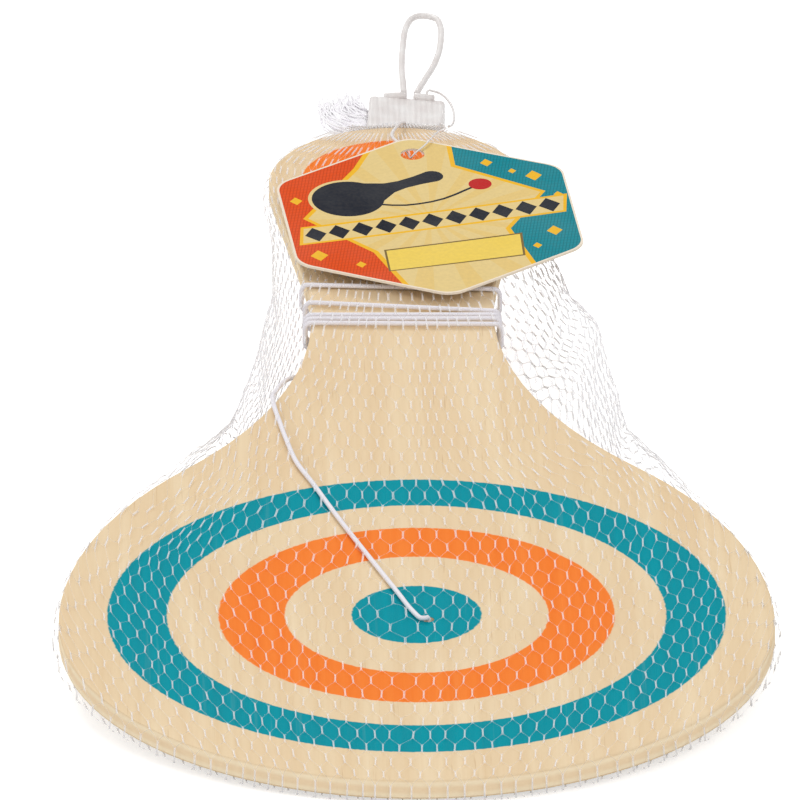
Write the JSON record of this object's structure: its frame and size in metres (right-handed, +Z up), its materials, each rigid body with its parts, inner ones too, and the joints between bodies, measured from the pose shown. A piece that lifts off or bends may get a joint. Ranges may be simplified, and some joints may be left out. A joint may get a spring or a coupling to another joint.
{
  "type": "paddle ball",
  "caption": "Round-headed wooden paddle with a target on its face, a rubber ball on an elastic string and a card tag, packed in a white net bag with a hang loop.",
  "frame": {"origin": "on the surface it lies on, under the middle of the part's box", "axes": "+X to the right across the face, +Y along the handle towards the hang loop, +Z up"},
  "size_m": [0.1372, 0.3306, 0.0392],
  "materials": {
    "wood": "bare sanded plywood",
    "string": "white braided elastic",
    "rubber": "smooth rubber",
    "card": "printed card",
    "net": "white knitted plastic net",
    "clip": "milky moulded plastic"
  },
  "bodies": {
    "root": {"paddle": "wood", "string_front": "string", "string_windings": "string", "string_tail": "string", "paddle_knot": "string", "tag_tie": "net", "bag_front_net": "net", "bag_back_net": "net", "net_gather": "net", "clip_front": "clip", "clip_back": "clip", "loose_strand": "net"},
    "hang_loop": {"hang_loop": "clip"},
    "tag": {"tag": "card"},
    "ball": {"ball": "rubber", "ball_knot": "string"}
  },
  "joints": [
    {"name": "hang_loop_swing", "type": "hinge", "parent": "root", "child": "hang_loop", "pos_m": [0, 0.13101, 0.03408], "axis": [1, 0, 0], "range_deg": [-45, 60]},
    {"name": "tag_swing", "type": "hinge", "parent": "root", "child": "tag", "pos_m": [0.00313, 0.09014, 0.03649], "axis": [0, -0.1542, 0.988], "range_deg": [-30, 30]},
    {"name": "ball_turn", "type": "hinge", "parent": "root", "child": "ball", "pos_m": [0, 0.08392, 0.0135], "axis": [0, 0.9948, 0.1023], "range_deg": [-180, 180]}
  ]
}
